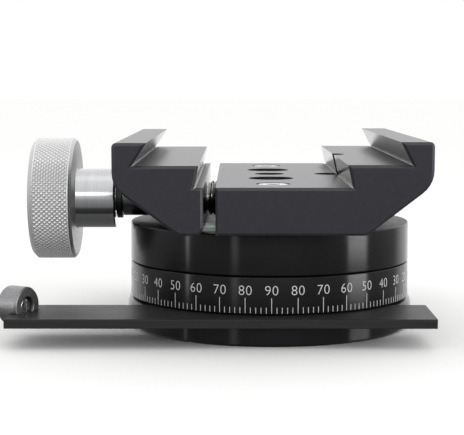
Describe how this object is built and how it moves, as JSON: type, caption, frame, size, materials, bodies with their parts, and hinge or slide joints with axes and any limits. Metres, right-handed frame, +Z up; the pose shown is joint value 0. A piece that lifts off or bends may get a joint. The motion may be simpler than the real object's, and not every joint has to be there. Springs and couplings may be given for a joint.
{
  "type": "panning dovetail clamp",
  "caption": "Two-step dovetail clamp with a knob-driven sliding jaw, on a graduated pan head fixed to a flat base bar.",
  "frame": {"origin": "centre of the base flange's underside, on the pan axis", "axes": "+Z up along the pan axis, +X from the knob across the clamp, +Y along the dovetail"},
  "size_m": [0.1259, 0.1142, 0.0591],
  "materials": {
    "black_anodised": "satin black anodised, faint lilac tint",
    "gloss_black": "gloss black anodised, turned",
    "brushed_black": "black anodised, brushed along its length",
    "grey_satin": "grey satin anodised",
    "bare_aluminium": "bare aluminium, turned and knurled",
    "bright_steel": "bright steel",
    "dark_steel": "dark grey steel, turned",
    "black_oxide": "black oxide steel",
    "white_polymer": "plain white low-friction polymer",
    "black_rubber": "black rubber"
  },
  "bodies": {
    "base": {"base_flange": "gloss_black", "base_bar": "brushed_black", "bar_screw_left": "dark_steel", "bar_screw_right": "dark_steel", "barrel_lug": "grey_satin", "barrel_screw": "bright_steel", "pivot_bolt": "dark_steel", "disc_spring": "bright_steel", "thrust_washer": "white_polymer"},
    "pan_table": {"turntable": "gloss_black", "ring_o_ring": "black_rubber", "clamp_body": "black_anodised", "mount_screw_front": "black_oxide", "mount_screw_rear": "black_oxide", "guide_strip_front": "bright_steel", "guide_strip_rear": "bright_steel", "strip_screw_front": "bright_steel", "strip_screw_rear": "bright_steel"},
    "dial": {"scale_ring": "gloss_black"},
    "jaw": {"clamp_jaw": "black_anodised", "spacer_bush": "dark_steel"},
    "knob_and_screw": {"knob": "bare_aluminium", "knob_set_screw": "black_oxide", "knob_washer": "black_oxide", "clamp_screw": "bright_steel"}
  },
  "joints": [
    {"name": "pan_rotation", "type": "hinge", "parent": "base", "child": "pan_table", "pos_m": [0, 0, 0.02], "axis": [0, 0, 1], "continuous": true},
    {"name": "scale_ring_turn", "type": "hinge", "parent": "pan_table", "child": "dial", "pos_m": [0, 0, 0.015], "axis": [0, 0, 1], "continuous": true},
    {"name": "jaw_slide", "type": "slide", "parent": "pan_table", "child": "jaw", "axis": [1, 0, 0], "range_m": [-0.00508, 0.00254]},
    {"name": "knob_turn", "type": "hinge", "parent": "jaw", "child": "knob_and_screw", "pos_m": [-0.04, 0, 0.0391], "axis": [1, 0, 0], "range_deg": [-1441, 721]}
  ],
  "couplings": [
    {"joint": "knob_turn", "follows": "jaw_slide", "rad_per_m": 4947.4}
  ]
}
